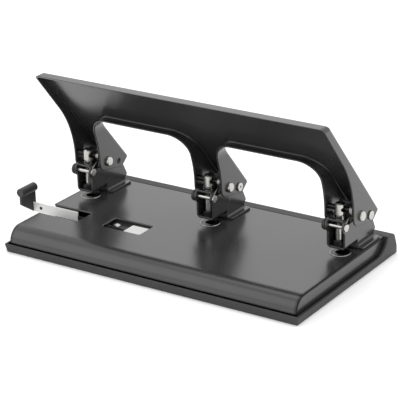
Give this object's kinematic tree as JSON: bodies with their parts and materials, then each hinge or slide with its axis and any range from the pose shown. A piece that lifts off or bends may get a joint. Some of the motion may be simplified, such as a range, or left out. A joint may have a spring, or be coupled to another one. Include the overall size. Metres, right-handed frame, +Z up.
{
  "type": "three-hole paper punch",
  "caption": "Heavy-duty lever paper punch: wide black handle over a flat sheet-metal base, steel punch pins in folded brackets, sliding paper guide at the left end.",
  "frame": {"origin": "on the table plane under the middle of the base tray", "axes": "+X to the right along the row of punches, +Y to the rear, +Z up"},
  "size_m": [0.2674, 0.1418, 0.1241],
  "materials": {
    "tray_plastic": "soft black plastic, fine grain",
    "black_coat": "satin black powder coat",
    "die_steel": "turned steel",
    "pin_steel": "bright plated steel",
    "spring_steel": "bright spring wire",
    "guide_metal": "pale zinc-plated strip",
    "stop_plastic": "moulded black plastic",
    "scale_plastic": "white printed plate, left blank"
  },
  "bodies": {
    "base": {"base_tray": "tray_plastic", "base_cover": "black_coat", "end_plate_left": "black_coat", "end_plate_right": "black_coat", "guide_rail": "guide_metal", "scale_plate": "scale_plastic", "foot_rivets": "pin_steel", "tie_rivets": "pin_steel", "tie_caps": "stop_plastic", "die_left": "die_steel", "die_middle": "die_steel", "die_right": "die_steel", "bracket_left": "black_coat", "bracket_middle": "black_coat", "bracket_right": "black_coat", "guide_bush_left": "die_steel", "guide_bush_middle": "die_steel", "guide_bush_right": "die_steel"},
    "handle": {"handle_lever": "black_coat", "pivot_pins": "pin_steel", "pivot_washers": "pin_steel", "stop_pins": "pin_steel", "drive_pin_left": "pin_steel", "drive_pin_middle": "pin_steel", "drive_pin_right": "pin_steel", "return_spring_left": "spring_steel", "return_spring_middle": "spring_steel", "return_spring_right": "spring_steel"},
    "punch_left": {"punch_pin_left": "pin_steel"},
    "punch_middle": {"punch_pin_middle": "pin_steel"},
    "punch_right": {"punch_pin_right": "pin_steel"},
    "paper_guide": {"guide_strip": "guide_metal", "guide_stop": "stop_plastic", "guide_slider": "stop_plastic", "detent_spring": "spring_steel"}
  },
  "joints": [
    {"name": "handle_swing", "type": "hinge", "parent": "base", "child": "handle", "pos_m": [0, 0.0221, 0.0451], "axis": [1, 0, 0], "range_deg": [0, 47], "stiffness_Nm_per_rad": 0.45, "springref_deg": -28.65, "deforming": ["return_spring_left", "return_spring_middle", "return_spring_right"]},
    {"name": "punch_slide_left", "type": "slide", "parent": "base", "child": "punch_left", "axis": [0, 0, -1], "range_m": [0, 0.0071]},
    {"name": "punch_slide_middle", "type": "slide", "parent": "base", "child": "punch_middle", "axis": [0, 0, -1], "range_m": [0, 0.0071]},
    {"name": "punch_slide_right", "type": "slide", "parent": "base", "child": "punch_right", "axis": [0, 0, -1], "range_m": [0, 0.0071]},
    {"name": "guide_slide", "type": "slide", "parent": "base", "child": "paper_guide", "axis": [1, 0, 0], "range_m": [-0.016, 0.008]}
  ],
  "couplings": [
    {"joint": "punch_slide_left", "follows": "handle_swing", "m_per_rad": 0.0085},
    {"joint": "punch_slide_middle", "follows": "handle_swing", "m_per_rad": 0.0085},
    {"joint": "punch_slide_right", "follows": "handle_swing", "m_per_rad": 0.0085}
  ]
}
